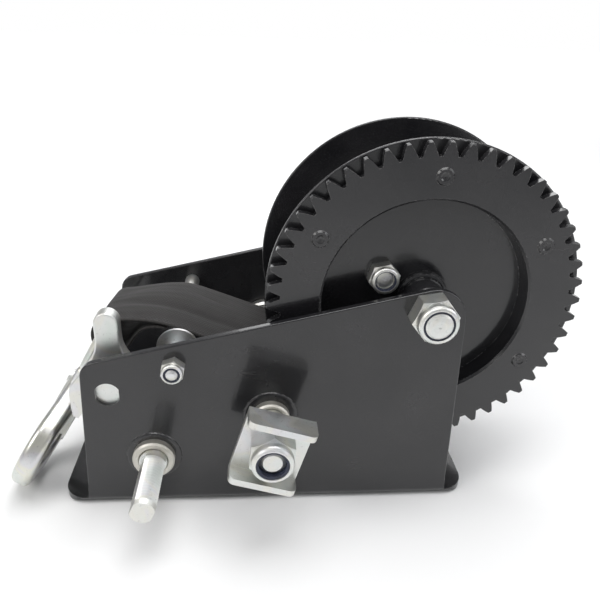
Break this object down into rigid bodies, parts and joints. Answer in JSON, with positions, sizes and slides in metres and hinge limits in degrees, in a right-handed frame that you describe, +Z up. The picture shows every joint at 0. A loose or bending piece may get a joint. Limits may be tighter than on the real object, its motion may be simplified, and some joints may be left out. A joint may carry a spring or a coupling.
{
  "type": "boat trailer winch",
  "caption": "Two-speed hand winch with a bent steel frame, geared drum, two crank shafts, ratchet pawl, wound webbing strap and snap hook.",
  "frame": {"origin": "centre of the base plate's underside", "axes": "+Z up, +X from the hook end to the drum end, -Y towards the crank side, along the shafts"},
  "size_m": [0.3141, 0.173, 0.2055],
  "materials": {
    "black_paint": "gloss",
    "zinc_plate": "satin",
    "hook_plate": "gloss",
    "gear_steel": "satin",
    "bush_iron": "satin",
    "nylon": "matte",
    "webbing": "matte"
  },
  "bodies": {
    "frame": {"frame": "black_paint", "bush_a_front": "bush_iron", "bush_a_rear": "bush_iron", "bush_b_front": "bush_iron", "bush_b_rear": "bush_iron", "axle_bolt": "zinc_plate", "axle_sleeve": "gear_steel", "axle_nut": "zinc_plate", "axle_nut_insert": "nylon", "drum_rear_spacer": "black_paint", "tie_bolt": "zinc_plate", "tie_nut": "zinc_plate", "tie_nut_insert": "nylon", "tie_sleeve": "zinc_plate", "strap_guide_washer": "zinc_plate", "pawl_pin": "zinc_plate", "pawl_spacer": "zinc_plate", "pawl_washer": "zinc_plate", "pawl_clip": "zinc_plate", "strap_free": "webbing"},
    "drum": {"drum_gear": "black_paint", "front_flange": "black_paint", "rear_flange": "black_paint", "drum_core": "black_paint", "drum_rivets": "black_paint", "strap_anchor_bolt": "zinc_plate", "strap_anchor_nut": "zinc_plate", "anchor_nut_insert": "nylon", "strap_coil": "webbing"},
    "shaft_b": {"shaft_b": "zinc_plate", "pinion_b": "gear_steel", "middle_gear": "black_paint", "shaft_b_spacer": "zinc_plate", "shaft_b_collar": "zinc_plate", "shaft_b_clip": "zinc_plate", "crank_bracket": "zinc_plate", "crank_bracket_nut": "zinc_plate", "bracket_nut_insert": "nylon"},
    "shaft_a": {"shaft_a": "zinc_plate", "pinion_a": "gear_steel", "shaft_a_spacer": "zinc_plate", "shaft_a_clip": "zinc_plate"},
    "pawl": {"pawl": "zinc_plate"},
    "hook": {"hook_body": "hook_plate", "hook_latch_pin": "zinc_plate"},
    "latch": {"hook_latch": "zinc_plate"}
  },
  "joints": [
    {"name": "drum_spin", "type": "hinge", "parent": "frame", "child": "drum", "pos_m": [0.082, 0, 0.1205], "axis": [0, -1, 0], "continuous": true},
    {"name": "shaft_b_spin", "type": "hinge", "parent": "frame", "child": "shaft_b", "pos_m": [0.00046, 0, 0.0586], "axis": [0, -1, 0], "continuous": true},
    {"name": "shaft_a_spin", "type": "hinge", "parent": "frame", "child": "shaft_a", "pos_m": [-0.06313, 0, 0.03381], "axis": [0, -1, 0], "continuous": true},
    {"name": "pawl_swing", "type": "hinge", "parent": "frame", "child": "pawl", "pos_m": [-0.0851, 0, 0.0733], "axis": [0, -1, 0], "range_deg": [0, 32]},
    {"name": "hook_swing", "type": "hinge", "parent": "frame", "child": "hook", "pos_m": [-0.088, -0.0062, 0.093], "axis": [0.0535, 0.9819, -0.1818], "range_deg": [0, 70]},
    {"name": "latch_swing", "type": "hinge", "parent": "hook", "child": "latch", "pos_m": [-0.11224, -0.01158, 0.05133], "axis": [-0.8639, 0.1368, 0.4848], "range_deg": [0, 25], "stiffness_Nm_per_rad": 0.02, "springref_deg": -20.05}
  ],
  "couplings": [
    {"joint": "shaft_b_spin", "follows": "drum_spin", "ratio": -3.8462},
    {"joint": "shaft_a_spin", "follows": "drum_spin", "ratio": 7.6923}
  ]
}
